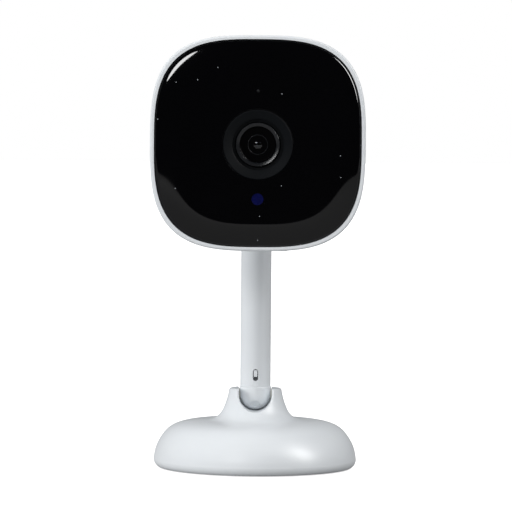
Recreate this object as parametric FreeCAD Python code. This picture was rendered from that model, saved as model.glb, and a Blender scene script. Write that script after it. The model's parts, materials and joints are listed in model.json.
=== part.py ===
import FreeCAD, Part
import math
import os

from FreeCAD import Vector

# Indoor security camera: a squircle head on a slim stem that folds in a forked, weighted base.
# Millimetres. Origin at the centre of the foot, +Z up, the lens looks along -Y.

# ---- driving dimensions -------------------------------------------------------------------

# head outline: superellipses |x|^n + |z|^n = half^n
head_z = 90.45            # height of the head's centre
head_half = 28.8          # outer half width and half height
head_n = 3.12
panel_half = 27.68        # black front panel
panel_n = 3.08
wall = 1.6                # housing wall
outline_points = 32       # points that carry each superellipse

# head depths along Y, front to back
panel_front = -38.0
panel_thick = 2.2
rim_front = -37.1         # front of the white rim around the panel
adhesive_thick = 0.2
shelf_thick = 1.0         # ledge that the panel is glued to
seam_y = -24.5            # where the front frame meets the rear shell
head_back = -17.0         # flat back of the rear shell
back_round = 7.0          # rounding of the rear shell's edge
pcb_back = -28.0
pcb_thick = 1.2
led_board_back = -33.4
led_board_thick = 1.0

# ball joint behind the head
ball_y = -15.0
ball_r = 5.6
ball_gap = 0.06           # running clearance on each side of the liner
liner_thick = 0.5
neck_r = 2.4              # stud neck behind the ball
collar_r = 9.6            # outer radius of the retaining collar
collar_mouth = 2.6        # the mouth's plane, behind the ball's centre
flange_r = 11.4           # flange of the inner cup
flange_thick = 1.4

# lens, on the head's axis
lens_z = head_z - 0.35
shroud_r = 9.32
shroud_step_r = 6.8
barrel_r = 5.86
lens_glass_r = 4.9

# light sensor window and microphone hole in the panel
window_r = 1.6
window_z = head_z - 14.9
mic_z = head_z + 13.9
mic_r = 0.4

# stem
stem_r = 4.25
stem_bore_r = 3.2
elbow_r = 7.5             # centreline radius of the bend under the ball
stem_foot = 22.7          # where the tube meets the knuckle's shoulder
window_half_width = 0.72  # snap window in the stem's front
window_low, window_high = 24.4, 27.7

# fork and knuckle
hinge_z = 20.6
fork_half_gap = 4.6
knuckle_r = 4.42
pin_r = 0.8
pin_half_length = 6.3
washer_r = 1.5
washer_thick = 0.5
dimple_deg = 39.0         # how far below level the knuckle's dimple points
ear_top = 22.2
notch_edge_round = 0.3    # rounding along the fork's edges

# base
base_r = 28.2             # widest, a little above the table
shell_foot = 0.3          # the shell's lower edge stands clear of the table
shell_foot_r = 26.9
widest_z = 2.4
ear_r, ear_crown_r = 7.35, 6.8
plate_r = 25.4
plate_thick = 1.6
foot_r, foot_thick = 24.2, 1.0
ballast_r, ballast_thick = 21.0, 5.0
base_screw_pcd_r = 22.9
base_screw_r = 0.88
boss_r = 2.3
keyhole_spacing = 24.0
keyhole_entry_r, keyhole_slot_r, keyhole_rise = 3.6, 1.75, 5.6

# screws through the head's boards, at the corners of a square
post_at = 17.0
post_r = 2.5
screw_r = 0.95
screw_bore_r = 0.97       # in the posts
screw_clear_r = 1.05      # through boards and spacers
screw_head_r, screw_head_high = 1.8, 0.9

# sockets, speaker and reset button
usb_x, usb_z = 9.8, head_z - 13.6
card_x, card_width = -6.9, 14.0
card_low = head_z - 25.7
speaker_z = head_z + 17.6
speaker_r = 6.0
grille_hole_r = 0.55
button_x, button_y = 7.0, -27.4
button_r = 1.25
button_proud = 0.25
button_travel = 0.5
switch_low = head_z - 20.4

BACK = Vector(0, 1, 0)
UP = Vector(0, 0, 1)
RIGHT = Vector(1, 0, 0)


# ---- small helpers ------------------------------------------------------------------------

def box(x0, x1, y0, y1, z0, z1):
    """A box from its low and high corners."""
    return Part.makeBox(x1 - x0, y1 - y0, z1 - z0, Vector(x0, y0, z0))


def rod_y(radius, y0, y1, x=0.0, z=head_z):
    """A cylinder along Y between two depths."""
    return Part.makeCylinder(radius, y1 - y0, Vector(x, y0, z), BACK)


def rod_z(radius, z0, z1, x=0.0, y=0.0):
    """A cylinder along Z between two heights."""
    return Part.makeCylinder(radius, z1 - z0, Vector(x, y, z0), UP)


def turned_y(profile, x=0.0, z=head_z):
    """A solid turned about a line along Y, from (radius, y) corners."""
    corners = [Vector(x + r, y, z) for r, y in profile]
    face = Part.Face(Part.makePolygon(corners + corners[:1]))
    return face.revolve(Vector(x, 0, z), BACK, 360)


def squircle(half, power, y, centre_z=head_z):
    """A closed superellipse wire in the plane at depth y."""
    points = []
    for i in range(outline_points):
        a = 2 * math.pi * i / outline_points
        c, s = math.cos(a), math.sin(a)
        r = half / (abs(c) ** power + abs(s) ** power) ** (1 / power)
        points.append(Vector(r * c, y, centre_z + r * s))
    curve = Part.BSplineCurve()
    curve.interpolate(points, PeriodicFlag=True)
    return Part.Wire([curve.toShape()])


def squircle_block(half, power, y0, y1):
    """A superellipse prism between two depths."""
    return Part.Face(squircle(half, power, y0)).extrude(Vector(0, y1 - y0, 0))


def edges_at_y(shape, y):
    """The edges that lie wholly in the plane at depth y."""
    found = []
    for edge in shape.Edges:
        b = edge.BoundBox
        if abs(b.YMin - y) < 0.01 and abs(b.YMax - y) < 0.01:
            found.append(edge)
    return found


def corners(distance):
    """The four corners of a square about the head's centre, as (x, z)."""
    return [(i * distance, head_z + j * distance) for i in (-1, 1) for j in (-1, 1)]


def shell_of_ball(inner, outer, low_deg, high_deg):
    """A zone of a spherical shell about the ball's centre, by angle from the front pole."""
    lo, hi = math.radians(low_deg), math.radians(high_deg)
    mid = (lo + hi) / 2

    def at(radius, angle):
        return Vector(radius * math.sin(angle), ball_y - radius * math.cos(angle), head_z)

    edges = [Part.Arc(at(outer, lo), at(outer, mid), at(outer, hi)).toShape()]
    edges.append(Part.makeLine(at(outer, hi), at(inner, hi)))
    edges.append(Part.Arc(at(inner, hi), at(inner, mid), at(inner, lo)).toShape())
    if low_deg > 0:
        edges.append(Part.makeLine(at(inner, lo), at(outer, lo)))
    else:
        edges.append(Part.makeLine(at(inner, 0), at(outer, 0)))
    face = Part.Face(Part.Wire(edges))
    return face.revolve(Vector(0, 0, head_z), BACK, 360)


# ---- head: front ---------------------------------------------------------------------------

def front_panel():
    """Gloss black acrylic panel with a pillowed edge and a hole for the lens."""
    panel = squircle_block(panel_half, panel_n, panel_front, panel_front + panel_thick)
    panel = panel.makeFillet(1.9, edges_at_y(panel, panel_front))
    y0, y1 = panel_front - 1, panel_front + panel_thick + 1
    panel = panel.cut(rod_y(shroud_r + 0.05, y0, y1, z=lens_z))
    panel = panel.cut(rod_y(window_r, y0, y1, z=window_z))
    return panel.cut(rod_y(mic_r, y0, y1, z=mic_z))


def panel_adhesive():
    """Ring of adhesive foam between the panel and the frame's shelf."""
    y0 = panel_front + panel_thick
    ring = squircle_block(panel_half - 0.3, panel_n, y0, y0 + adhesive_thick)
    return ring.cut(squircle_block(panel_half - 2.2, panel_n, y0 - 1, y0 + 1))


def head_frame():
    """White frame: rim, glue shelf and side wall, with the card slot and button hole below."""
    shelf_front = panel_front + panel_thick + adhesive_thick
    frame = squircle_block(head_half, head_n, rim_front, seam_y)
    frame = frame.makeFillet(0.55, edges_at_y(frame, rim_front))
    frame = frame.cut(squircle_block(panel_half + 0.06, panel_n, rim_front - 1, shelf_front))
    frame = frame.cut(squircle_block(panel_half - 2.4, panel_n, rim_front, seam_y + 1))
    behind = shelf_front + shelf_thick
    frame = frame.cut(squircle_block(head_half - wall, head_n, behind, seam_y + 1))
    low = head_z - head_half - 1
    slot_half = card_width / 2 - 1.0
    frame = frame.cut(box(card_x - slot_half, card_x + slot_half, pcb_back + 0.2, pcb_back + 1.5,
                          low, head_z - 24))
    return frame.cut(rod_z(button_r + 0.15, low, head_z - 24, button_x, button_y))


def sensor_window():
    """Dark blue window over the light sensor, set in the panel."""
    return rod_y(window_r - 0.02, panel_front + 0.05, panel_front + panel_thick, z=window_z)


def lens_shroud():
    """Matt ring around the lens: a shallow cone, a step and a flange behind the panel."""
    f = panel_front
    profile = [(shroud_r, f + 0.08), (shroud_step_r, f + 0.75), (shroud_step_r, f + 1.35),
               (barrel_r + 0.25, f + 1.35), (barrel_r + 0.25, f + 2.9), (shroud_r + 0.5, f + 2.9),
               (shroud_r + 0.5, f + panel_thick + 0.02), (shroud_r, f + panel_thick + 0.02)]
    return turned_y(profile, z=lens_z)


def lens_barrel():
    """Threaded lens barrel: bevelled nose, stepped throat and a bore for the rear optics."""
    f = panel_front
    profile = [(barrel_r, f + 0.75), (barrel_r - 0.3, f + 0.35), (lens_glass_r + 0.25, f + 0.45),
               (lens_glass_r, f + 0.9), (lens_glass_r, f + 2.2), (3.4, f + 2.6), (3.4, f + 7.2),
               (barrel_r, f + 7.2)]
    return turned_y(profile, z=lens_z)


def domed_lens(radius, edge_front, crown, thick):
    """A plano-convex element whose dome faces the front."""
    sphere_r = (radius ** 2 + crown ** 2) / (2 * crown)
    centre = Vector(0, edge_front - crown + sphere_r, lens_z)
    dome = Part.makeSphere(sphere_r, centre)
    dome = dome.common(rod_y(radius, edge_front - crown - 1, edge_front, z=lens_z))
    return dome.fuse(rod_y(radius, edge_front, edge_front + thick, z=lens_z)).removeSplitter()


def front_lens():
    """Front glass element in the barrel's throat."""
    return domed_lens(lens_glass_r - 0.02, panel_front + 1.7, 1.0, 0.5)


def rear_lens():
    """Rear glass element behind the iris."""
    return domed_lens(3.38, panel_front + 4.6, 0.7, 1.2)


def iris_ring():
    """Blackened stop between the two lens elements."""
    y0 = panel_front + 2.95
    return rod_y(3.38, y0, y0 + 0.4, z=lens_z).cut(rod_y(1.3, y0 - 1, y0 + 1, z=lens_z))


def lens_mount():
    """Square holder that carries the barrel over the image sensor."""
    y1 = pcb_back - pcb_thick
    mount = box(-7.0, 7.0, y1 - 4.2, y1, lens_z - 7.0, lens_z + 7.0)
    mount = mount.cut(rod_y(barrel_r + 0.02, y1 - 5, y1 - 1.6, z=lens_z))
    return mount.cut(box(-4.6, 4.6, y1 - 2.0, y1 + 1, lens_z - 4.6, lens_z + 4.6))


def ir_filter():
    """Infrared cut filter glass just ahead of the sensor."""
    y1 = pcb_back - pcb_thick
    return box(-4.3, 4.3, y1 - 1.5, y1 - 1.2, lens_z - 4.3, lens_z + 4.3)


def image_sensor():
    """Image sensor package on the main board."""
    y1 = pcb_back - pcb_thick
    return box(-3.6, 3.6, y1 - 0.9, y1, lens_z - 3.0, lens_z + 3.0)


# ---- head: boards and electronics ----------------------------------------------------------

def board(half, y0, y1):
    """A squircle board drilled for the four corner screws."""
    plate = squircle_block(half, head_n, y0, y1)
    for x, z in corners(post_at):
        plate = plate.cut(rod_y(screw_clear_r, y0 - 1, y1 + 1, x, z))
    return plate


def main_pcb():
    """Main circuit board with the processor on its back."""
    plate = board(24.6, pcb_back - pcb_thick, pcb_back)
    return plate.cut(box(button_x - 3, button_x + 3, pcb_back - 3, pcb_back + 1,
                         head_z - 26, switch_low + 0.2))


def processor():
    """Processor package that the heat sink cools."""
    return box(-6.0, 6.0, pcb_back, pcb_back + 1.0, head_z - 6.0, head_z + 6.0)


def led_board():
    """Ring board behind the panel with the infrared emitters."""
    y0 = led_board_back - led_board_thick
    ring = board(24.0, y0, led_board_back)
    return ring.cut(rod_y(10.6, y0 - 1, led_board_back + 1, z=lens_z))


def ir_leds():
    """Six infrared emitters around the lens."""
    y1 = led_board_back - led_board_thick
    leds = []
    for i in range(6):
        a = math.radians(60 * i)
        x, z = 15.0 * math.cos(a), lens_z + 15.0 * math.sin(a)
        leds.append(box(x - 1.5, x + 1.5, y1 - 0.8, y1, z - 1.5, z + 1.5))
    return Part.makeCompound(leds)


def light_sensor():
    """Ambient light sensor behind the blue window."""
    y1 = led_board_back - led_board_thick
    return box(-1.2, 1.2, y1 - 0.9, y1, window_z - 1.2, window_z + 1.2)


def microphone():
    """Microphone capsule behind its hole in the panel."""
    y1 = led_board_back - led_board_thick
    return box(-1.6, 1.6, y1 - 1.1, y1, mic_z - 1.3, mic_z + 1.3)


def status_led():
    """Status light on the ring board."""
    y1 = led_board_back - led_board_thick
    return box(3.4, 4.6, y1 - 0.6, y1, mic_z - 0.5, mic_z + 0.5)


def board_spacers():
    """Brass spacers that hold the two boards apart."""
    y0, y1 = led_board_back, pcb_back - pcb_thick
    return Part.makeCompound([rod_y(2.0, y0, y1, x, z).cut(rod_y(screw_clear_r, y0 - 1, y1 + 1, x, z))
                              for x, z in corners(post_at)])


def head_screws():
    """Four long screws through both boards into the rear shell's posts."""
    top = led_board_back - led_board_thick
    screws = []
    for x, z in corners(post_at):
        screw = rod_y(screw_head_r, top - screw_head_high, top, x, z)
        screw = screw.fuse(rod_y(screw_r, top, pcb_back + 5.0, x, z))
        screws.append(screw.cut(box(x - 1.2, x + 1.2, top - 1.5, top - 0.45, z - 0.2, z + 0.2)))
    return Part.makeCompound(screws)


def speaker():
    """Small speaker behind the grille in the rear shell."""
    back = head_back - wall - 0.35
    body = rod_y(speaker_r, back - 3.0, back, z=speaker_z)
    return body.fuse(rod_y(speaker_r - 2.5, back - 4.4, back - 3.0, z=speaker_z))


def wifi_antenna():
    """Flexible aerial along the frame's side wall."""
    return box(-26.75, -26.45, -33.2, -27.4, head_z - 8.0, head_z + 8.0)


def heat_sink():
    """Finned aluminium plate on the processor."""
    y0 = pcb_back + 1.0
    sink = box(-11.0, 11.0, y0, y0 + 1.0, head_z - 9.0, head_z + 9.0)
    for i in range(6):
        x = -10.6 + 4.0 * i
        sink = sink.fuse(box(x, x + 1.2, y0 + 1.0, y0 + 2.4, head_z - 9.0, head_z + 9.0))
    return sink.removeSplitter()


def usb_inlet():
    """Power inlet: a steel shell with its tongue, upright on the board."""
    x, z = usb_x, usb_z
    shell = box(x - 3.9, x + 3.9, pcb_back, head_back - 0.5, z - 1.5, z + 1.5)
    shell = shell.cut(box(x - 3.5, x + 3.5, head_back - 6.5, head_back, z - 1.15, z + 1.15))
    return shell.fuse(box(x - 2.5, x + 2.5, head_back - 6.6, head_back - 1.4, z - 0.3, z + 0.3))


def microsd_socket():
    """Memory card socket on the board's back, open downwards."""
    y0, z0, half = pcb_back, card_low, card_width / 2
    socket = box(card_x - half, card_x + half, y0, y0 + 1.8, z0, z0 + 14.0)
    inside = half - 1.2
    return socket.cut(box(card_x - inside, card_x + inside, y0 + 0.35, y0 + 1.35, z0 - 1, z0 + 12.5))


def reset_switch():
    """Tact switch that the reset button presses."""
    body = box(button_x - 2.2, button_x + 2.2, pcb_back, pcb_back + 2.6, switch_low + 0.4, switch_low + 3.2)
    plunger_y = pcb_back + 1.1
    return body.fuse(box(button_x - 0.8, button_x + 0.8, plunger_y - 0.5, plunger_y + 0.5,
                         switch_low, switch_low + 0.5))


# ---- head: rear ----------------------------------------------------------------------------

def rear_shell():
    """White rear shell with board posts, speaker grille, inlet opening and joint bore."""
    shell = squircle_block(head_half, head_n, seam_y, head_back)
    shell = shell.makeFillet(back_round, edges_at_y(shell, head_back))
    inner = squircle_block(head_half - wall, head_n, seam_y - 1, head_back - wall)
    shell = shell.cut(inner.makeFillet(back_round - wall, edges_at_y(inner, head_back - wall)))
    for x, z in corners(post_at):
        post = rod_y(post_r, pcb_back, head_back - wall + 0.4, x, z)
        shell = shell.fuse(post).cut(rod_y(screw_bore_r, pcb_back - 1, pcb_back + 7.0, x, z))
    shell = shell.cut(rod_y(collar_r - 1.2, head_back - 4, head_back + 1))
    shell = shell.cut(box(usb_x - 4.5, usb_x + 4.5, head_back - 3, head_back + 1, usb_z - 2.1, usb_z + 2.1))
    for ring, count in ((0.0, 1), (2.2, 6), (4.4, 12)):
        for i in range(count):
            a = 2 * math.pi * i / count
            gx, gz = ring * math.cos(a), speaker_z + ring * math.sin(a)
            shell = shell.cut(rod_y(grille_hole_r, head_back - 3, head_back + 1, gx, gz))
    return shell.removeSplitter()


def ball_cup():
    """Inner cup of the ball joint, seated inside the rear shell."""
    inner = ball_r + 2 * ball_gap + liner_thick
    front = ball_y - inner - 1.3
    flange_front = head_back - wall - flange_thick
    profile = [(0, front), (5.0, front), (collar_r - 1.4, ball_y - 3.8), (collar_r - 1.4, flange_front),
               (flange_r, flange_front), (flange_r, head_back - wall), (collar_r - 1.3, head_back - wall),
               (collar_r - 1.3, ball_y), (0, ball_y)]
    cup = turned_y(profile)
    return cup.cut(Part.makeSphere(inner, Vector(0, ball_y, head_z)))


def ball_collar():
    """Retaining collar: it screws on behind the ball and closes past its widest circle."""
    inner = ball_r + 2 * ball_gap + liner_thick
    profile = [(collar_r - 1.3, ball_y), (collar_r - 1.3, head_back + 0.05), (collar_r, head_back + 0.05),
               (collar_r, ball_y + collar_mouth - 1.0), (collar_r - 1.0, ball_y + collar_mouth),
               (0, ball_y + collar_mouth), (0, ball_y)]
    collar = turned_y(profile)
    collar = collar.cut(Part.makeSphere(inner, Vector(0, ball_y, head_z)))
    mouth = Part.makeCone(3.6, 8.2, 4.6, Vector(0, ball_y + 1.0, head_z), BACK)
    return collar.cut(mouth)


def cup_screws():
    """Three screws that hold the cup's flange to the rear shell."""
    y1 = head_back - wall
    screws = []
    for deg in (90, 210, 330):
        a = math.radians(deg)
        x, z = 10.2 * math.cos(a), head_z + 10.2 * math.sin(a)
        screws.append(rod_y(1.1, y1 - flange_thick - 0.8, y1 - flange_thick, x, z))
    return Part.makeCompound(screws)


def liner_ring():
    """Rear friction liner, a spherical ring at the ball's widest circle."""
    inner = ball_r + ball_gap
    return shell_of_ball(inner, inner + liner_thick, 80, 112)


def liner_cap():
    """Front friction liner, a spherical cap ahead of the ball."""
    inner = ball_r + ball_gap
    return shell_of_ball(inner, inner + liner_thick, 0, 48)


def reset_button():
    """Reset button with a retaining flange inside the frame."""
    low = head_z - head_half
    button = rod_z(button_r, low - button_proud, switch_low - button_travel - 0.1, button_x, button_y)
    return button.fuse(rod_z(button_r + 0.45, low + wall + 0.4, low + wall + 1.2, button_x, button_y))


# ---- stem ----------------------------------------------------------------------------------

def bent_rod(radius, low, high_y):
    """A rod up the stem and round the bend, ending in a face at depth high_y."""
    top = head_z - elbow_r
    start = Vector(0, 0, low)
    bend_start = Vector(0, 0, top)
    middle = Vector(0, -elbow_r * (1 - math.cos(math.pi / 4)), top + elbow_r * math.sin(math.pi / 4))
    bend_end = Vector(0, -elbow_r, head_z)
    edges = [Part.makeLine(start, bend_start), Part.Arc(bend_start, middle, bend_end).toShape()]
    if high_y < -elbow_r:
        edges.append(Part.makeLine(bend_end, Vector(0, high_y, head_z)))
    path = Part.Wire(edges)
    profile = Part.Wire([Part.makeCircle(radius, start, UP)])
    return path.makePipeShell([profile], True, False)


def stem_tube():
    """Hollow stem that turns forward behind the head, with a snap window low in its front."""
    tube = bent_rod(stem_r, stem_foot, -elbow_r)
    tube = tube.cut(bent_rod(stem_bore_r, stem_foot, -elbow_r))
    r = window_half_width
    slot = box(-r, r, -stem_r - 1, 0, window_low + r, window_high - r)
    for z in (window_low + r, window_high - r):
        slot = slot.fuse(Part.makeCylinder(r, stem_r + 1, Vector(0, -stem_r - 1, z), BACK))
    return tube.cut(slot.removeSplitter())


def stem_knuckle():
    """Knuckle that closes the stem's foot: ball end, shoulder, spigot and snap tongue."""
    axis = Vector(0, 0, hinge_z)
    knuckle = Part.makeSphere(knuckle_r, axis).cut(rod_z(knuckle_r + 1, hinge_z, stem_foot + 5))
    shoulder = rod_z(knuckle_r, hinge_z, stem_foot)
    top = [e for e in shoulder.Edges if abs(e.BoundBox.ZMin - stem_foot) < 0.01]
    knuckle = knuckle.fuse(shoulder.makeFillet(0.3, top))
    knuckle = knuckle.fuse(rod_z(stem_bore_r - 0.02, hinge_z, 33.0))
    pocket_high = window_high - 0.3
    knuckle = knuckle.cut(box(-1.2, 1.2, -stem_r, -1.6, window_low - 0.4, pocket_high + 0.6))
    tongue = box(-0.5, 0.5, -stem_r + 0.1, -1.5, window_low + 1.2, pocket_high)
    knuckle = knuckle.fuse(tongue).removeSplitter()
    for side in (-1, 1):
        inner = Vector(side * (fork_half_gap - washer_thick - 0.05), 0, hinge_z)
        knuckle = knuckle.cut(Part.makeCylinder(washer_r + 0.05, 3, inner, RIGHT * side))
    knuckle = knuckle.cut(Part.makeCylinder(pin_r + 0.03, 12, Vector(-6, 0, hinge_z), RIGHT))
    a = math.radians(dimple_deg)
    outward = Vector(0, -math.cos(a), -math.sin(a))
    return knuckle.cut(Part.makeCylinder(1.25, 2, axis + outward * (knuckle_r - 0.45), outward))


def ball_stud():
    """Ball with its neck, plugged into the end of the stem's bend."""
    ball = Part.makeSphere(ball_r, Vector(0, ball_y, head_z))
    profile = [(0, ball_y + 2), (neck_r, ball_y + 2), (neck_r, -elbow_r - 1.0), (stem_r, -elbow_r),
               (stem_bore_r - 0.02, -elbow_r), (stem_bore_r - 0.02, -elbow_r + 0.6), (0, -elbow_r + 0.6)]
    return ball.fuse(turned_y(profile)).removeSplitter()


# ---- base ----------------------------------------------------------------------------------

def keyholes(low, high, spare=0.0):
    """The two keyhole cutters, round entries that lead up to narrow slots."""
    cutters = []
    for side in (-1, 1):
        x = side * keyhole_spacing / 2
        entry = rod_z(keyhole_entry_r + spare, low, high, x, -keyhole_rise / 2)
        end = rod_z(keyhole_slot_r + spare, low, high, x, keyhole_rise / 2)
        slot = keyhole_slot_r + spare
        neck = box(x - slot, x + slot, -keyhole_rise / 2, keyhole_rise / 2, low, high)
        cutters.append(entry.fuse([end, neck]).removeSplitter())
    return cutters


def base_screw_spots():
    """Where the three closing screws stand, as (x, y)."""
    angles = [math.radians(90 + 120 * i) for i in range(3)]
    return [(base_screw_pcd_r * math.cos(a), base_screw_pcd_r * math.sin(a)) for a in angles]


def base_outline():
    """The turned outline of the base, from the shell's foot up to the neck's top, as (r, z)."""
    foot_turn = Part.Arc(Vector(shell_foot_r, 0, shell_foot), Vector(27.75, 0, 1.0),
                         Vector(base_r, 0, widest_z))
    side = Part.BSplineCurve()
    side.interpolate([Vector(r, 0, z) for r, z in (
        (base_r, widest_z), (27.5, 6.0), (26.1, 8.7), (23.7, 11.3), (19.6, 12.85), (14.6, 13.3),
        (11.2, 13.9), (9.5, 15.4), (8.6, 17.2), (7.9, 19.2), (ear_r, ear_top - 0.5))])
    crown = Part.Arc(Vector(ear_r, 0, ear_top - 0.5), Vector(7.15, 0, ear_top - 0.14),
                     Vector(ear_crown_r, 0, ear_top))
    return [foot_turn.toShape(), side.toShape(), crown.toShape()]


def notch_edges(shape):
    """The edges where the fork's notch meets the outside of the base."""
    found = []
    for edge in shape.Edges:
        first, last = edge.ParameterRange
        spots = [edge.valueAt(first + part * (last - first)) for part in (0.1, 0.5, 0.9)]
        reach = [math.hypot(p.x, min(p.z - hinge_z, 0)) for p in spots]
        along_seam = all(abs(p.z - hinge_z) < 0.01 for p in spots)
        if not along_seam and all(abs(r - fork_half_gap) < 0.01 for r in reach):
            found.append(edge)
    return found


def base_shell():
    """White weighted base's shell with the fork that holds the stem."""
    edges = base_outline()
    edges.append(Part.makeLine(Vector(ear_crown_r, 0, ear_top), Vector(0, 0, ear_top)))
    edges.append(Part.makeLine(Vector(0, 0, ear_top), Vector(0, 0, shell_foot)))
    edges.append(Part.makeLine(Vector(0, 0, shell_foot), Vector(shell_foot_r, 0, shell_foot)))
    shell = Part.Face(Part.Wire(edges)).revolve(Vector(0, 0, 0), UP, 360)

    cavity = rod_z(plate_r + 0.1, shell_foot - 1, 7.6)
    cavity = cavity.fuse(rod_z(22.5, 7.0, 10.4))
    shell = shell.cut(cavity)
    for x, y in base_screw_spots():
        boss = rod_z(boss_r, shell_foot + plate_thick, 9.0, x, y)
        shell = shell.fuse(boss).cut(rod_z(0.9, 0, 8.0, x, y))

    notch = Part.makeCylinder(fork_half_gap, 40, Vector(0, -20, hinge_z), BACK)
    notch = notch.fuse(box(-fork_half_gap, fork_half_gap, -20, 20, hinge_z, ear_top + 1))
    shell = shell.cut(notch.removeSplitter())
    shell = shell.makeFillet(notch_edge_round, notch_edges(shell))
    for side in (-1, 1):
        seat = Vector(side * (fork_half_gap - washer_thick - 0.02), 0, hinge_z)
        shell = shell.cut(Part.makeCylinder(washer_r + 0.05, washer_thick + 0.02, seat, RIGHT * side))
    pin_hole = Part.makeCylinder(pin_r, 2 * pin_half_length, Vector(-pin_half_length, 0, hinge_z), RIGHT)
    return shell.cut(pin_hole)


def base_plate():
    """Bottom cover with a recess for the foot pad and two keyholes for wall screws."""
    top = shell_foot + plate_thick
    plate = rod_z(plate_r, shell_foot, top)
    plate = plate.cut(rod_z(foot_r + 0.1, 0, foot_thick))
    plate = plate.cut(keyholes(0, top + 1))
    for x, y in base_screw_spots():
        plate = plate.cut(rod_z(1.1, 0, top + 1, x, y))
    return plate


def ballast_plate():
    """Steel weight over the bottom cover, hollowed above the keyholes."""
    low = shell_foot + plate_thick + 0.1
    plate = rod_z(ballast_r, low, low + ballast_thick)
    plate = plate.cut(keyholes(low - 1, low + 1.8, keyhole_entry_r - keyhole_slot_r))
    for x, y in base_screw_spots():
        plate = plate.cut(rod_z(boss_r + 0.5, low - 1, low + ballast_thick + 1, x, y))
    return plate


def foot_pad():
    """Soft pad that the base stands on, open at the keyholes."""
    return rod_z(foot_r, 0, foot_thick).cut(keyholes(-1, foot_thick + 1, 0.3))


def base_screws():
    """Three screws that close the base, under the pad."""
    low, top = foot_thick, shell_foot + plate_thick
    screws = []
    for x, y in base_screw_spots():
        head = Part.makeCone(1.0, 0.9, 0.2, Vector(x, y, low + 0.02), UP)
        screws.append(head.fuse(rod_z(base_screw_r, low + 0.2, top + 5.4, x, y)))
    return Part.makeCompound(screws)


def hinge_pin():
    """Steel pin through the fork and the knuckle."""
    return Part.makeCylinder(pin_r - 0.01, 2 * pin_half_length - 0.2,
                             Vector(0.1 - pin_half_length, 0, hinge_z), RIGHT)


def hinge_washers():
    """Friction washers between the knuckle and the fork's ears."""
    washers = []
    for side in (-1, 1):
        start = Vector(side * (fork_half_gap - washer_thick), 0, hinge_z)
        washer = Part.makeCylinder(washer_r, washer_thick - 0.02, start, RIGHT * side)
        bore = Part.makeCylinder(pin_r + 0.05, 3, start - RIGHT * side, RIGHT * side)
        washers.append(washer.cut(bore))
    return Part.makeCompound(washers)


# ---- write every piece ---------------------------------------------------------------------

makers = [
    front_panel, panel_adhesive, head_frame, sensor_window, lens_shroud, lens_barrel, front_lens,
    rear_lens, iris_ring, lens_mount, ir_filter, image_sensor, main_pcb, processor, led_board,
    ir_leds, light_sensor, microphone, status_led, board_spacers, head_screws, speaker,
    wifi_antenna, heat_sink, usb_inlet, microsd_socket, reset_switch, rear_shell, ball_cup,
    ball_collar, cup_screws, liner_ring, liner_cap, reset_button, stem_tube, stem_knuckle,
    ball_stud, base_shell, base_plate, ballast_plate, foot_pad, base_screws, hinge_pin,
    hinge_washers,
]

os.makedirs("parts", exist_ok=True)
for maker in makers:
    shape = maker()
    name = maker.__name__
    solids = shape.Solids
    state = "ok" if shape.isValid() and all(s.Volume > 0 for s in solids) else "INVALID"
    print(f"{name:16s} {len(solids)} solid(s) {shape.Volume:9.1f} mm3 {state}")
    shape.exportStep(f"parts/{name}.step")
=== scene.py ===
import json
import math

import bmesh
import bpy
from mathutils import Matrix, Vector


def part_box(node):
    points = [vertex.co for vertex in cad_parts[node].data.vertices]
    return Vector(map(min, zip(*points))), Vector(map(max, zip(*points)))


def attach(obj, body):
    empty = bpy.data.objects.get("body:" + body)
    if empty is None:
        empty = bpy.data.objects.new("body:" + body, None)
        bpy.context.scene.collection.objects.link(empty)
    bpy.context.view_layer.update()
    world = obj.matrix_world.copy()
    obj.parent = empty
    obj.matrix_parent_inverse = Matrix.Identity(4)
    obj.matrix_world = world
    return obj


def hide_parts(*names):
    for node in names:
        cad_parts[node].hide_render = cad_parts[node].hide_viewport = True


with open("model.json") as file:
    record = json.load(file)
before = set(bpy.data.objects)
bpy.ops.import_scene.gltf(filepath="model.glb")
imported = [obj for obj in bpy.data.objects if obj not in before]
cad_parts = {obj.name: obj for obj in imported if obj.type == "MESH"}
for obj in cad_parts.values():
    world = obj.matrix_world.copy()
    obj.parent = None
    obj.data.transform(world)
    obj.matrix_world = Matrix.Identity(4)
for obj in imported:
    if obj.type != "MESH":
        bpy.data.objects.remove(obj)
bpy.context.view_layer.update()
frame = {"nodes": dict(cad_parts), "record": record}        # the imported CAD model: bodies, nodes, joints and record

mm = 0.001
nodes = frame["nodes"]
slotOf = {part["node"]: part["material_slot"] for part in frame["record"]["subparts"]}
bodyOf = {node: body for body, held in frame["record"]["behaviour"]["bodies"].items() for node in held}


# where the head's pieces are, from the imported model
panelLow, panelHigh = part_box("front_panel")
shroudLow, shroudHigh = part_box("lens_shroud")
barrelLow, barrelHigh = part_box("lens_barrel")
panelCentre = (panelLow + panelHigh) / 2
lensCentre = (barrelLow + barrelHigh) / 2
panelFront = panelLow.y
panelHalf = (panelHigh.x - panelLow.x) / 2
flangeWidth = 0.5      # mm, hidden behind the panel, round the shroud
shroudRadius = (shroudHigh.x - shroudLow.x) / 2 / mm - flangeWidth
barrelRadius = (barrelHigh.x - barrelLow.x) / 2 / mm

cameraValues = {
    "distance": 900 * mm,      # from the middle of the base, in front of the lens
    "height": 93.4 * mm,
    "side": -4 * mm,
    "aimHeight": 58.97 * mm,
    "aimSide": -0.1 * mm,
    "lean": 0.45,              # degrees
    "lens": 227.5,             # focal length, mm
    "sensor": 36,              # width, mm
    "clip": (10 * mm, 30),     # nearest and farthest that it sees
}


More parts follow.
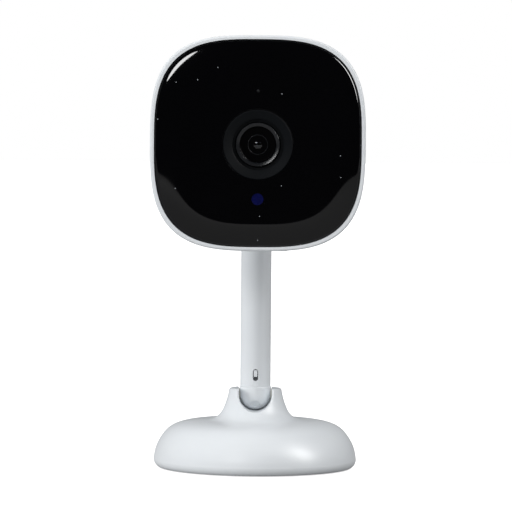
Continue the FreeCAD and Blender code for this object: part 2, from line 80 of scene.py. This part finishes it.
def makeCamera(v):
    data = bpy.data.cameras.new("camera")
    data.lens = v["lens"]
    data.sensor_width = v["sensor"]
    data.clip_start, data.clip_end = v["clip"]
    camera = bpy.data.objects.new("camera", data)
    bpy.context.scene.collection.objects.link(camera)
    camera.location = (v["side"], -v["distance"], v["height"])
    toAim = Vector((v["aimSide"], 0, v["aimHeight"])) - camera.location
    camera.rotation_euler = toAim.to_track_quat("-Z", "Y").to_euler()
    camera.rotation_euler.rotate_axis("Z", math.radians(v["lean"]))
    bpy.context.scene.camera = camera


makeCamera(cameraValues)
print("camera ready")


def linear(hexColour):
    channels = [int(hexColour[i:i + 2], 16) / 255 for i in (1, 3, 5)]
    return tuple(c / 12.92 if c <= 0.04045 else ((c + 0.055) / 1.055) ** 2.4 for c in channels) + (1.0,)


def grey(level):
    return (level, level, level, 1)


# settings are the node's own properties or the values of its sockets
def addNode(tree, kind, settings=None, links=None):
    node = tree.nodes.new(kind)
    for key, value in (settings or {}).items():
        if isinstance(key, str) and hasattr(node, key):
            setattr(node, key, value)
        else:
            node.inputs[key].default_value = value
    for key, source in (links or {}).items():
        tree.links.new(source, node.inputs[key])
    return node


def startMaterial(name, ior=1.5, metallic=0.0):
    material = bpy.data.materials.new(name)
    material.use_nodes = True
    tree = material.node_tree
    shader = tree.nodes["Principled BSDF"]
    shader.inputs["IOR"].default_value = ior
    shader.inputs["Metallic"].default_value = metallic
    place = addNode(tree, "ShaderNodeTexCoord").outputs["Object"]
    return material, tree, shader, place


# slow drift between two close colours; patch is its size in mm
def driftColour(tree, shader, place, first, second, patch):
    drift = addNode(tree, "ShaderNodeTexNoise", {"Scale": 1 / (patch * mm), "Detail": 3.0},
                    {"Vector": place})
    mix = addNode(tree, "ShaderNodeMix", {"data_type": "RGBA", 6: linear(first), 7: linear(second)},
                  {0: drift.outputs["Fac"]})
    tree.links.new(mix.outputs[2], shader.inputs["Base Color"])
    return mix.outputs[2]


# a pattern moves the roughness between smooth and rough, and raises the surface by depth in mm
def workSurface(tree, shader, pattern, smooth, rough, depth):
    band = addNode(tree, "ShaderNodeMapRange", {"To Min": smooth, "To Max": rough}, {"Value": pattern})
    tree.links.new(band.outputs["Result"], shader.inputs["Roughness"])
    bump = addNode(tree, "ShaderNodeBump", {"Distance": depth * mm}, {"Height": pattern})
    tree.links.new(bump.outputs["Normal"], shader.inputs["Normal"])


# even grain: its size and depth in mm, its mean roughness and how far that spreads
def surfaceGrain(tree, shader, place, size, depth, rough, spread):
    grain = addNode(tree, "ShaderNodeTexNoise", {"Scale": 1 / (size * mm), "Detail": 2.0},
                    {"Vector": place})
    workSurface(tree, shader, grain.outputs["Fac"], rough - spread, rough + spread, depth)


# sparse specks: one cell in a few holds one; spacing and speck are in mm, share is the part of the cells
def speckMask(tree, place, spacing, speck, share, dimensions):
    cells = addNode(tree, "ShaderNodeTexVoronoi",
                    {"voronoi_dimensions": dimensions, "Scale": 1 / (spacing * mm)}, {"Vector": place})
    near = addNode(tree, "ShaderNodeMath", {"operation": "LESS_THAN", 1: speck / spacing / 2},
                   {0: cells.outputs["Distance"]})
    chance = addNode(tree, "ShaderNodeSeparateColor", None, {"Color": cells.outputs["Color"]})
    chosen = addNode(tree, "ShaderNodeMath", {"operation": "LESS_THAN", 1: share},
                     {0: chance.outputs["Red"]})
    both = addNode(tree, "ShaderNodeMath", {"operation": "MULTIPLY"},
                   {0: near.outputs[0], 1: chosen.outputs[0]})
    return both.outputs[0]


whiteAbsValues = {
    "colour": "#e9edf0", "shade": "#e3e7eb", "patch": 16,
    "grain": 0.25, "depth": 0.006, "rough": 0.38, "spread": 0.04,
    "fleckColour": "#b3b8bd", "fleckSpacing": 7, "fleck": 0.22, "fleckShare": 0.1,
    "softness": 0.04, "softReach": (0.8 * mm, 0.8 * mm, 0.9 * mm),      # how far light goes in
}


# ABS, moulded in a spark-eroded tool: cool white, an even satin that softens every highlight,
# and a rare dark fleck in the resin
def mouldedAbs(v):
    material, tree, shader, place = startMaterial("absWhiteMoulded", ior=1.53)
    colour = driftColour(tree, shader, place, v["colour"], v["shade"], v["patch"])
    surfaceGrain(tree, shader, place, v["grain"], v["depth"], v["rough"], v["spread"])
    fleck = speckMask(tree, place, v["fleckSpacing"], v["fleck"], v["fleckShare"], "3D")
    spotted = addNode(tree, "ShaderNodeMix", {"data_type": "RGBA", 7: linear(v["fleckColour"])},
                      {0: fleck, 6: colour})
    tree.links.new(spotted.outputs[2], shader.inputs["Base Color"])
    shader.inputs["Subsurface Weight"].default_value = v["softness"]
    shader.inputs["Subsurface Radius"].default_value = v["softReach"]
    shader.inputs["Subsurface Scale"].default_value = 1.0
    return material


acrylicValues = {
    "colour": "#020203", "shade": "#030305",
    "wave": 22, "waveDepth": 0.002,                              # slow waviness of the sheet, mm
    "rough": 0.035, "film": 9, "filmBand": (0.45, 0.8), "filmRough": 0.05,      # smears of wiping
    "dustSpacing": 5.5, "dust": 0.26, "dustShare": 0.16, "dustColour": "#9fa4a9", "dustRough": 0.6,
}


# acrylic sheet, cast and flame polished: black all through, mirror gloss, a faint slow waviness and
# the dust that such a panel always draws
def polishedAcrylic(v):
    material, tree, shader, place = startMaterial("acrylicBlackPolished", ior=1.49)
    colour = driftColour(tree, shader, place, v["colour"], v["shade"], v["wave"])
    laid = addNode(tree, "ShaderNodeVectorRotate", {"rotation_type": "X_AXIS", "Angle": math.radians(90)},
                   {"Vector": place})      # the specks lie in the panel's plane
    dust = speckMask(tree, laid.outputs[0], v["dustSpacing"], v["dust"], v["dustShare"], "2D")
    dusty = addNode(tree, "ShaderNodeMix", {"data_type": "RGBA", 7: linear(v["dustColour"])},
                    {0: dust, 6: colour})
    tree.links.new(dusty.outputs[2], shader.inputs["Base Color"])
    film = addNode(tree, "ShaderNodeTexNoise", {"Scale": 1 / (v["film"] * mm), "Detail": 4.0},
                   {"Vector": place})
    clean, smeared = v["filmBand"]
    gloss = addNode(tree, "ShaderNodeMapRange",
                    {"From Min": clean, "From Max": smeared, "To Min": v["rough"],
                     "To Max": v["rough"] + v["filmRough"]}, {"Value": film.outputs["Fac"]})
    dull = addNode(tree, "ShaderNodeMix", {"data_type": "FLOAT", 3: v["dustRough"]},
                   {0: dust, 2: gloss.outputs["Result"]})
    tree.links.new(dull.outputs[0], shader.inputs["Roughness"])
    wave = addNode(tree, "ShaderNodeTexNoise", {"Scale": 1 / (v["wave"] * mm), "Detail": 1.0},
                   {"Vector": place})
    bump = addNode(tree, "ShaderNodeBump", {"Distance": v["waveDepth"] * mm},
                   {"Height": wave.outputs["Fac"]})
    tree.links.new(bump.outputs["Normal"], shader.inputs["Normal"])
    return material


# polycarbonate, moulded with a fine matt grain: it stays dark from every side
def mattPolycarbonate():
    material, tree, shader, place = startMaterial("polycarbonateBlackMatt", ior=1.58)
    driftColour(tree, shader, place, "#0e1114", "#090b0e", 6)
    surfaceGrain(tree, shader, place, 0.3, 0.012, 0.5, 0.07)
    shader.inputs["Specular IOR Level"].default_value = 0.07      # the grain traps most of the gloss
    return material


# aluminium, turned and black anodised: turning rings round the lens's axis that stretch the
# highlights; the real ones are about 0.1 mm apart, drawn 2.2 mm apart so that they show
def anodisedBarrel():
    material, tree, shader, place = startMaterial("aluminiumBlackAnodised", ior=1.5)
    driftColour(tree, shader, place, "#17191c", "#101215", 3)
    centred = addNode(tree, "ShaderNodeVectorMath", {"operation": "SUBTRACT", 1: lensCentre}, {0: place})
    radian = 0.35      # mm for one radian of the wave, which has 20 to a unit of its own
    rings = addNode(tree, "ShaderNodeTexWave",
                    {"wave_type": "RINGS", "rings_direction": "Y", "Scale": 1 / (20 * radian * mm),
                     "Distortion": 0.4}, {"Vector": centred.outputs[0]})
    workSurface(tree, shader, rings.outputs["Fac"], 0.14, 0.24, 0.006)
    return material


# aluminium under lens ink: it swallows light, so the bare lip beside it stands out
def lampBlack():
    material, tree, shader, place = startMaterial("aluminiumInkBlack", ior=1.45)
    driftColour(tree, shader, place, "#050506", "#020203", 2)
    surfaceGrain(tree, shader, place, 0.3, 0.004, 0.3, 0.05)
    shader.inputs["Specular IOR Level"].default_value = 0.05
    return material


# optical glass, ground, polished and coated: clear, with a cool grey tint that dims what is behind it
def coatedGlass():
    material, tree, shader, place = startMaterial("glassCoated", ior=1.62)
    driftColour(tree, shader, place, "#878d9a", "#7d8390", 4)
    shader.inputs["Transmission Weight"].default_value = 1.0
    surfaceGrain(tree, shader, place, 1.5, 0.0004, 0.012, 0.006)
    return material


# acrylic, dyed deep blue, polished: it passes infrared and looks almost black
def blueAcrylic():
    material, tree, shader, place = startMaterial("acrylicBlueDyed", ior=1.49)
    driftColour(tree, shader, place, "#060b48", "#03062c", 1.5)
    surfaceGrain(tree, shader, place, 0.8, 0.001, 0.12, 0.03)
    return material


# glass-fibre board with a green solder mask: the copper tracks under it show as lighter, raised lanes
def solderMask():
    material, tree, shader, place = startMaterial("circuitBoardGreen", ior=1.5)
    laid = addNode(tree, "ShaderNodeVectorRotate", {"rotation_type": "X_AXIS", "Angle": math.radians(90)},
                   {"Vector": place})      # the lanes lie in the board's plane
    lanes = addNode(tree, "ShaderNodeTexBrick",
                    {"Color1": linear("#12502c"), "Color2": linear("#0f4425"), "Mortar": linear("#1d6b3c"),
                     "Scale": 1 / (6 * mm), "Mortar Size": 0.03, "Brick Width": 0.9, "Row Height": 0.28},
                    {"Vector": laid.outputs[0]})
    tree.links.new(lanes.outputs["Color"], shader.inputs["Base Color"])
    weave = addNode(tree, "ShaderNodeTexNoise", {"Scale": 1 / (0.5 * mm)}, {"Vector": place})
    band = addNode(tree, "ShaderNodeMapRange", {"To Min": 0.25, "To Max": 0.4},
                   {"Value": weave.outputs["Fac"]})
    tree.links.new(band.outputs["Result"], shader.inputs["Roughness"])
    bump = addNode(tree, "ShaderNodeBump", {"Distance": 0.03 * mm}, {"Height": lanes.outputs["Fac"]})
    tree.links.new(bump.outputs["Normal"], shader.inputs["Normal"])
    return material


# epoxy moulding compound: dull black with a fine sandy grain
def mouldedEpoxy():
    material, tree, shader, place = startMaterial("epoxyBlackMoulded", ior=1.55)
    driftColour(tree, shader, place, "#26282a", "#1d1f21", 2)
    surfaceGrain(tree, shader, place, 0.2, 0.01, 0.6, 0.08)
    return material


# clear cast epoxy of an emitter: it lets most light through, with a faint yellow cast
def clearEpoxy():
    material, tree, shader, place = startMaterial("epoxyClearCast", ior=1.54)
    driftColour(tree, shader, place, "#f2efdc", "#e6e2c8", 1)
    shader.inputs["Transmission Weight"].default_value = 0.7
    surfaceGrain(tree, shader, place, 0.6, 0.004, 0.1, 0.04)
    return material


# a metal's brush or tool marks, spacing mm apart, and so many times finer along each axis
def brushedMetal(name, first, second, spacing, finer, rough):
    material, tree, shader, place = startMaterial(name, metallic=1.0)
    driftColour(tree, shader, place, first, second, 5)
    stretch = addNode(tree, "ShaderNodeVectorMath", {"operation": "MULTIPLY", 1: finer}, {0: place})
    marks = addNode(tree, "ShaderNodeTexNoise", {"Scale": 1 / (spacing * mm), "Detail": 3.0},
                    {"Vector": stretch.outputs[0]})
    workSurface(tree, shader, marks.outputs["Fac"], rough - 0.08, rough + 0.1, 0.01)
    return material


# acetal, machined and left natural: milky white, waxy, a little light goes into it
def naturalAcetal():
    material, tree, shader, place = startMaterial("acetalNatural", ior=1.48)
    driftColour(tree, shader, place, "#e9e8e1", "#dedcd2", 4)
    surfaceGrain(tree, shader, place, 0.4, 0.008, 0.34, 0.06)
    shader.inputs["Subsurface Weight"].default_value = 0.15
    shader.inputs["Subsurface Radius"].default_value = (1 * mm, 0.9 * mm, 0.8 * mm)
    shader.inputs["Subsurface Scale"].default_value = 1.0
    return material


# polyurethane foam tape: open cells about 0.3 mm across, fully matt
def foamTape():
    material, tree, shader, place = startMaterial("foamBlackOpenCell", ior=1.45)
    driftColour(tree, shader, place, "#1c1c1d", "#121213", 3)
    cells = addNode(tree, "ShaderNodeTexVoronoi", {"Scale": 1 / (0.3 * mm)}, {"Vector": place})
    workSurface(tree, shader, cells.outputs["Distance"], 0.85, 1.0, 0.1)
    return material


# polyimide film over copper: amber, with the aerial's lanes about 3 mm apart showing through
def amberFilm():
    material, tree, shader, place = startMaterial("polyimideFilm", ior=1.7)
    radian = 0.5      # mm for one radian of the wave
    lanes = addNode(tree, "ShaderNodeTexWave", {"bands_direction": "Z", "Scale": 1 / (20 * radian * mm)},
                    {"Vector": place})
    mix = addNode(tree, "ShaderNodeMix", {"data_type": "RGBA", 6: linear("#b4641c"), 7: linear("#8a4712")},
                  {0: lanes.outputs["Fac"]})
    tree.links.new(mix.outputs[2], shader.inputs["Base Color"])
    surfaceGrain(tree, shader, place, 0.5, 0.004, 0.28, 0.05)
    return material


# silicone rubber sheet, calendered: light grey, dry and matt
def siliconeRubber():
    material, tree, shader, place = startMaterial("siliconeGreySheet", ior=1.41)
    driftColour(tree, shader, place, "#b9bcbf", "#a9acb0", 7)
    surfaceGrain(tree, shader, place, 0.35, 0.02, 0.75, 0.08)
    return material


slotMaterials = {
    "white_abs": mouldedAbs(whiteAbsValues),
    "black_acrylic": polishedAcrylic(acrylicValues),
    "matt_black": mattPolycarbonate(),
    "lens_black": anodisedBarrel(),
    "lens_glass": coatedGlass(),
    "blue_window": blueAcrylic(),
    "circuit_board": solderMask(),
    "chip_black": mouldedEpoxy(),
    "clear_epoxy": clearEpoxy(),
    "steel": brushedMetal("steelZincPlated", "#b9bcc0", "#a7aaae", 0.25, (1, 6, 1), 0.34),
    "aluminium": brushedMetal("aluminiumMilled", "#cfd1d4", "#bfc2c6", 0.3, (1, 1, 0.2), 0.36),
    "brass": brushedMetal("brassTurned", "#cfa75c", "#b98f47", 0.2, (0.3, 4, 0.3), 0.3),
    "acetal": naturalAcetal(),
    "foam": foamTape(),
    "amber_film": amberFilm(),
    "silicone": siliconeRubber(),
}
ink = lampBlack()      # a second finish, on the lens pieces only
for name, piece in nodes.items():
    piece.data.materials.clear()
    piece.data.materials.append(slotMaterials[slotOf[name]])
print("materials ready")


# a finished object: outward normals, smooth faces, and sharp edges past the given angle
def finishPiece(bm, name, node, sharpAngle=32):
    bmesh.ops.recalc_face_normals(bm, faces=bm.faces)
    for face in bm.faces:
        face.smooth = True
    for edge in bm.edges:
        edge.smooth = edge.calc_face_angle(0) < math.radians(sharpAngle)
    mesh = bpy.data.meshes.new(name)
    bm.to_mesh(mesh)
    bm.free()
    piece = bpy.data.objects.new(name, mesh)
    bpy.context.scene.collection.objects.link(piece)
    mesh.materials.append(slotMaterials[slotOf[node]])
    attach(piece, bodyOf[node])
    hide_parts(node)
    return piece


# joins rings of points with faces; every ring has the same count
def skinRings(bm, rings, closed):
    loops = [[bm.verts.new(point) for point in ring] for ring in rings]
    pairs = list(zip(loops, loops[1:]))
    if closed:
        pairs.append((loops[-1], loops[0]))
    for first, second in pairs:
        count = len(first)
        for i in range(count):
            bm.faces.new((first[i], first[(i + 1) % count], second[(i + 1) % count], second[i]))
    return loops


# the same points in the panel's plane, moved to y
def levelRing(points, y):
    return [(p.x, y, p.z) for p in points]


panelValues = {
    "power": 3.08,             # how square the outline is
    "points": 256,             # around the outline
    "edgeWidth": 0.9,          # tightly rounded edge, mm
    "edgeSlope": 84,           # its slope at the rim, degrees
    "edgeLand": 0.05,          # straight wall behind it, mm
    "pillowWidth": 5.4,        # gentle fall inside the edge, mm
    "pillowSlope": 16,         # its slope where the edge starts, degrees
    "flatMargin": 0.4,         # from the pillow to the last ring of the flat, mm
    "openingGap": 0.05,        # round the lens shroud, mm
    "chamfer": 0.18,           # at the lens's opening, mm
    "windowGap": 0.02,         # round the sensor window, mm
    "micHole": 0.4,            # radius, mm
}


# outline point of a superellipse in the panel's plane
def outlinePoint(half, power, angle):
    c, s = math.cos(angle), math.sin(angle)
    reach = half / (abs(c) ** power + abs(s) ** power) ** (1 / power)
    return Vector((reach * c, 0, reach * s))


# the panel's edge as (distance in from the outline, depth) in mm, from the flat to the rim
def edgeFall(v, steps=12):
    low, high = math.radians(v["pillowSlope"]), math.radians(v["edgeSlope"])
    step = v["pillowWidth"] / steps
    inward, depth = v["edgeWidth"] + v["pillowWidth"], 0.0
    fall = [(inward, depth)]
    for k in range(1, steps + 1):
        inward -= step
        depth += step * math.tan(low * k / steps - low / steps / 2)
        fall.append((inward, depth))
    radius = v["edgeWidth"] / (math.sin(high) - math.sin(low))
    for k in range(1, steps + 1):
        slope = low + (high - low) * k / steps
        fall.append((v["edgeWidth"] - radius * (math.sin(slope) - math.sin(low)),
                     depth + radius * (math.cos(low) - math.cos(slope))))
    return fall


def makeFrontPanel(v):
    angles = [2 * math.pi * i / v["points"] for i in range(v["points"])]
    circle = [Vector((math.cos(a), 0, math.sin(a))) for a in angles]
    lensAt = Vector((lensCentre.x, 0, lensCentre.z))
    middle = Vector((panelCentre.x, 0, panelCentre.z))
    opening, chamfer = (shroudRadius + v["openingGap"]) * mm, v["chamfer"] * mm
    bore = [lensAt + c * opening for c in circle]
    wider = [lensAt + c * (opening + chamfer) for c in circle]

    def ringAt(inward, y):
        return levelRing([middle + outlinePoint(panelHalf - inward * mm, v["power"], a) for a in angles], y)

    rings = [levelRing(bore, panelHigh.y), levelRing(bore, panelFront + chamfer),
             levelRing(wider, panelFront)]
    fall = edgeFall(v)
    flat = ringAt(fall[0][0] + v["flatMargin"], panelFront)
    for t in (0.25, 0.5, 0.75):
        rings.append([tuple(Vector(a).lerp(Vector(b), t)) for a, b in zip(rings[2], flat)])
    rings.append(flat)
    for inward, depth in fall:
        rings.append(ringAt(inward, panelFront + depth * mm))
    rings.append(ringAt(0, panelFront + fall[-1][1] * mm + v["edgeLand"] * mm))
    rings.append(ringAt(0, panelHigh.y))
    bm = bmesh.new()
    skinRings(bm, rings, closed=True)
    panel = finishPiece(bm, "frontPanel", "front_panel")

    low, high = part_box("sensor_window")
    drillPanel(panel, (low + high) / 2, (high.x - low.x) / 2 + v["windowGap"] * mm)
    low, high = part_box("microphone")
    drillPanel(panel, (low + high) / 2, v["micHole"] * mm)


# a round hole straight through the panel
def drillPanel(panel, centre, radius):
    length = 8 * mm      # well past both faces
    bm = bmesh.new()
    bmesh.ops.create_cone(bm, cap_ends=True, segments=64, radius1=radius, radius2=radius, depth=length)
    turned = Vector((0, 0, 1)).rotation_difference(Vector((0, 1, 0))).to_matrix()
    bmesh.ops.rotate(bm, verts=bm.verts, matrix=turned, cent=(0, 0, 0))
    bmesh.ops.translate(bm, verts=bm.verts, vec=(centre.x, panelCentre.y, centre.z))
    mesh = bpy.data.meshes.new("drill")
    bm.to_mesh(mesh)
    bm.free()
    drill = bpy.data.objects.new("drill", mesh)
    bpy.context.scene.collection.objects.link(drill)
    cut = panel.modifiers.new("hole", "BOOLEAN")
    cut.operation, cut.solver, cut.object = "DIFFERENCE", "EXACT", drill
    evaluated = panel.evaluated_get(bpy.context.evaluated_depsgraph_get())
    holed = bpy.data.meshes.new_from_object(evaluated)
    panel.modifiers.clear()
    panel.data = holed
    bpy.data.objects.remove(drill)


makeFrontPanel(panelValues)
print("front panel ready")


# replaces each corner (radius, depth, rounding) by a soft bend of a few points, all in mm
def softProfile(corners, steps=4):
    points = []
    count = len(corners)
    for i, (radius, depth, rounding) in enumerate(corners):
        here = Vector((radius, depth))
        if rounding == 0:
            points.append(here)
            continue
        before = Vector(corners[i - 1][:2]) - here
        after = Vector(corners[(i + 1) % count][:2]) - here
        turn = before.angle(after)
        reach = min(rounding / math.tan(turn / 2), before.length * 0.45, after.length * 0.45)
        start, end = here + before.normalized() * reach, here + after.normalized() * reach
        for k in range(steps + 1):
            t = k / steps
            points.append(start * (1 - t) ** 2 + here * 2 * t * (1 - t) + end * t ** 2)
    return points


# points round the lens's axis; the radius and the depth behind the panel's front are in mm
def lensRing(radius, depth, segments):
    y = panelFront + depth * mm
    angles = [2 * math.pi * i / segments for i in range(segments)]
    return [(lensCentre.x + radius * mm * math.cos(a), y, lensCentre.z + radius * mm * math.sin(a))
            for a in angles]


# a closed turned ring about the lens's axis, from corners (radius, depth, rounding)
def turnedRing(corners, segments=160):
    bm = bmesh.new()
    rings = [lensRing(radius, depth, segments) for radius, depth in softProfile(corners)]
    skinRings(bm, rings, closed=True)
    return bm


# black ink on every face further than radius from the lens's axis
def inkBeyond(piece, radius):
    piece.data.materials.append(ink)
    for face in piece.data.polygons:
        out = math.hypot(face.center.x - lensCentre.x, face.center.z - lensCentre.z) / mm
        face.material_index = 0 if out < radius else 1


lensValues = {
    "shroudStep": 6.8,         # radius of the shroud's inner edge, mm
    "stepDepth": 1.35,         # how deep the shroud's step lies
    "barrelGap": 0.25,         # between shroud and barrel
    "flangeDepth": 2.22,       # front of the shroud's hidden flange
    "glassEdge": 4.9,          # inner radius of the barrel's bevel
    "bevelDrop": 0.26,         # how much the bevel falls towards the glass
    "threads": 4,
    "threadStart": 0.45,       # behind the barrel's front
    "threadPitch": 0.3,
    "threadDepth": 0.16,
    "rearBore": 3.6,           # behind the baffle
    "baffleSpace": 0.9,        # from the front glass's seat to the rear bore
    "baffleBack": 0.8,         # from the seat to the baffle's back
    "lipHeight": 0.12,         # bare lip round the front glass
    "lipWidth": 0.22,
    "domeSeat": 2.0,           # depth of the front glass's rim behind the panel's front
    "domeRadius": 2.45,
    "domeGap": 0.05,           # between the glass and the baffle
    "clearRadius": 1.15,       # the glass's polished middle; the rim round it is inked black
    "domeCurve": 2.9,          # radius of the dome's sphere
    "hollowShare": 0.8,        # the hollow's sphere against the dome's
    "rimThickness": 0.5,
}


def makeShroud(v):
    step, floor = v["shroudStep"], v["stepDepth"]
    inside, outside = barrelRadius + v["barrelGap"], shroudRadius + flangeWidth
    flange, back = v["flangeDepth"], (shroudHigh.y - panelFront) / mm
    bm = turnedRing([(shroudRadius, 0.1, 0.08), (shroudRadius - 0.25, 0.02, 0.1), (step + 0.3, 0.66, 0.3),
                     (step, 0.78, 0.12), (step, floor, 0.05), (inside, floor, 0.05), (inside, back, 0),
                     (outside, back, 0), (outside, flange, 0), (shroudRadius, flange, 0)])
    finishPiece(bm, "lensShroud", "lens_shroud", 50)


def makeBarrel(v):
    front, rear = (barrelLow.y - panelFront) / mm, (barrelHigh.y - panelFront) / mm
    edge, inner = v["glassEdge"], v["domeSeat"] + v["baffleSpace"]
    profile = [(edge, front + v["bevelDrop"], 0.04), (barrelRadius - 0.12, front, 0.06),
               (barrelRadius, front + 0.15, 0.05)]
    root = barrelRadius - v["threadDepth"]
    for k in range(v["threads"]):
        depth = front + v["threadStart"] + v["threadPitch"] * k
        profile += [(barrelRadius, depth, 0.03), (root, depth + 0.08, 0.03),
                    (root, depth + 0.14, 0.03), (barrelRadius, depth + 0.22, 0.03)]
    profile += [(barrelRadius, rear, 0), (v["rearBore"], rear, 0), (v["rearBore"], inner, 0),
                (edge, inner, 0)]
    finishPiece(turnedRing(profile), "lensBarrel", "lens_barrel", 40)


# inked disc with a raised bare lip, which shows as a thin bright ring round the small front glass
def makeBaffle(v):
    bore, seat = v["domeRadius"] + v["domeGap"], v["domeSeat"]
    back, top, outside = seat + v["baffleBack"], seat - v["lipHeight"], v["glassEdge"] - 0.02
    bm = turnedRing([(bore, back, 0), (bore, top, 0.03), (bore + 0.13, top, 0.05),
                     (bore + 0.26, seat, 0.05), (v["glassEdge"] - 0.3, seat - 0.1, 0.2),
                     (outside, seat - 0.5, 0.05), (outside, back, 0)])
    inkBeyond(finishPiece(bm, "lensBaffle", "lens_barrel", 40), bore + v["lipWidth"])


# part of a sphere as (radius, depth), from its middle out to its edge, which lies at seat
def capProfile(curve, reach, seat, steps=18):
    widest = math.asin(reach / curve)
    return [(curve * math.sin(widest * k / steps),
             seat - curve * (math.cos(widest * k / steps) - math.cos(widest))) for k in range(steps + 1)]


# meniscus: a steep dome in front and a hollow behind, inside a flat inked rim
def makeFrontLens(v, segments=96):
    seat, back = v["domeSeat"], v["domeSeat"] + v["rimThickness"]
    dome = capProfile(v["domeCurve"], v["clearRadius"], seat)
    hollow = capProfile(v["domeCurve"] * v["hollowShare"], v["clearRadius"], back)
    profile = dome[1:] + [(v["domeRadius"], seat), (v["domeRadius"], back)] + hollow[:0:-1]
    bm = bmesh.new()
    loops = skinRings(bm, [lensRing(radius, depth, segments) for radius, depth in profile], closed=False)
    for loop, depth in ((loops[0], dome[0][1]), (loops[-1], hollow[0][1])):
        pole = bm.verts.new((lensCentre.x, panelFront + depth * mm, lensCentre.z))
        for i in range(segments):
            bm.faces.new((loop[i], loop[(i + 1) % segments], pole))
    inkBeyond(finishPiece(bm, "frontLens", "front_lens", 15), v["clearRadius"])


for makePiece in (makeShroud, makeBarrel, makeBaffle, makeFrontLens):
    makePiece(lensValues)
print("lens ready")


studioValues = {
    "ambient": 0.35,           # grey of the surroundings as they light the object
    "mirrored": 0.02,          # and as they show in its gloss
    # directions that the broad lights come from; angles in degrees
    "keyDirection": (-1.0, -0.3, 0.3), "keyStrength": 1.65, "keyAngle": 30,
    "topDirection": (0.1, -0.25, 1.0), "topStrength": 0.6, "topAngle": 60,
    "fillDirection": (0.6, -0.4, 0.7), "fillStrength": 0.95, "fillAngle": 60,
    # off the lens's axis and round it from the left, in degrees; width and height in metres; watts
    "leftBox": (29.5, 45, 0.44, 0.11, 2.3),
    "rightBox": (66, 149, 0.85, 0.3, 14),
    "boxDistance": 1200 * mm,
    "floorNear": -1.25, "floorFar": 9, "floorSide": 3,      # edges of the floor, metres
    "floorDrop": 0.02 * mm,    # below the foot, so that the two faces don't share a plane
    "floorGrey": 0.9, "floorGlow": 0.8, "floorBounce": 0.36,
}


def sunLight(name, direction, strength, angle):
    data = bpy.data.lights.new(name, "SUN")
    data.energy = strength
    data.angle = math.radians(angle)
    light = bpy.data.objects.new(name, data)
    bpy.context.scene.collection.objects.link(light)
    light.rotation_mode = "QUATERNION"
    light.rotation_quaternion = Vector(direction).to_track_quat("Z", "Y")
    light.visible_glossy = False      # no round spot in the gloss


# an oval light that faces the panel, its long side across the line to the lens's axis
def softBox(name, distance, offAxis, around, width, height, watts):
    data = bpy.data.lights.new(name, "AREA")
    data.shape = "ELLIPSE"
    data.size, data.size_y = width, height
    data.energy = watts
    light = bpy.data.objects.new(name, data)
    bpy.context.scene.collection.objects.link(light)
    off, turn = math.radians(offAxis), math.radians(around)
    out = Vector((-math.cos(turn), 0, math.sin(turn)))
    away = out * math.sin(off) - Vector((0, 1, 0)) * math.cos(off)
    light.location = Vector((panelCentre.x, panelFront, panelCentre.z)) + away * distance
    across = away.cross(out).normalized()
    light.rotation_euler = Matrix((across, away.cross(across), away)).transposed().to_euler()
    return light


# white behind the object for the eye, dim where it lights the object, and nearly black in its gloss
def makeWorld(v):
    world = bpy.data.worlds.new("studio")
    world.use_nodes = True
    bpy.context.scene.world = world
    tree = world.node_tree
    lighting = tree.nodes["Background"]
    lighting.inputs["Color"].default_value = grey(v["ambient"])
    path = addNode(tree, "ShaderNodeLightPath")
    seen = addNode(tree, "ShaderNodeBackground", {"Color": grey(1)})
    mirrored = addNode(tree, "ShaderNodeBackground", {"Color": grey(v["mirrored"])})
    unseen = addNode(tree, "ShaderNodeMixShader", None, {0: path.outputs["Is Diffuse Ray"],
                                                         1: mirrored.outputs[0], 2: lighting.outputs[0]})
    mix = addNode(tree, "ShaderNodeMixShader", None, {0: path.outputs["Is Camera Ray"],
                                                      1: unseen.outputs[0], 2: seen.outputs[0]})
    tree.links.new(mix.outputs[0], tree.nodes["World Output"].inputs["Surface"])


def makeStudio(v):
    for lamp in ("key", "top", "fill"):
        sunLight(lamp, v[lamp + "Direction"], v[lamp + "Strength"], v[lamp + "Angle"])
    for name in ("leftBox", "rightBox"):
        box = softBox(name, v["boxDistance"], *v[name])
        box.visible_diffuse = name == "leftBox"      # the right box only shows in the gloss
    makeWorld(v)
    bpy.context.scene.view_settings.view_transform = "Standard"


# pale paper: it glows softly for the eye, but it is a dull grey in the light that it throws back up
# and in the gloss, where its near edge sets how high the grey band in the panel's pillow reaches
def makeFloor(v):
    near, far, side = v["floorNear"], v["floorFar"], v["floorSide"]
    corners = ((-side, near), (side, near), (side, far), (-side, far))
    mesh = bpy.data.meshes.new("floor")
    mesh.from_pydata([(x, y, -v["floorDrop"]) for x, y in corners], [], [(0, 1, 2, 3)])
    floor = bpy.data.objects.new("floor", mesh)
    bpy.context.scene.collection.objects.link(floor)
    material, tree, shader = startMaterial("floorPaper")[:3]
    shader.inputs["Base Color"].default_value = grey(v["floorGrey"])
    shader.inputs["Roughness"].default_value = 1.0
    shader.inputs["Specular IOR Level"].default_value = 0
    shader.inputs["Emission Color"].default_value = grey(1)
    shader.inputs["Emission Strength"].default_value = v["floorGlow"]
    dull = addNode(tree, "ShaderNodeBsdfDiffuse", {"Color": grey(v["floorBounce"])})
    path = addNode(tree, "ShaderNodeLightPath")
    mix = addNode(tree, "ShaderNodeMixShader", None,
                  {0: path.outputs["Is Camera Ray"], 1: dull.outputs[0], 2: shader.outputs[0]})
    tree.links.new(mix.outputs[0], tree.nodes["Material Output"].inputs["Surface"])
    mesh.materials.append(material)


makeStudio(studioValues)
makeFloor(studioValues)
print("studio ready")
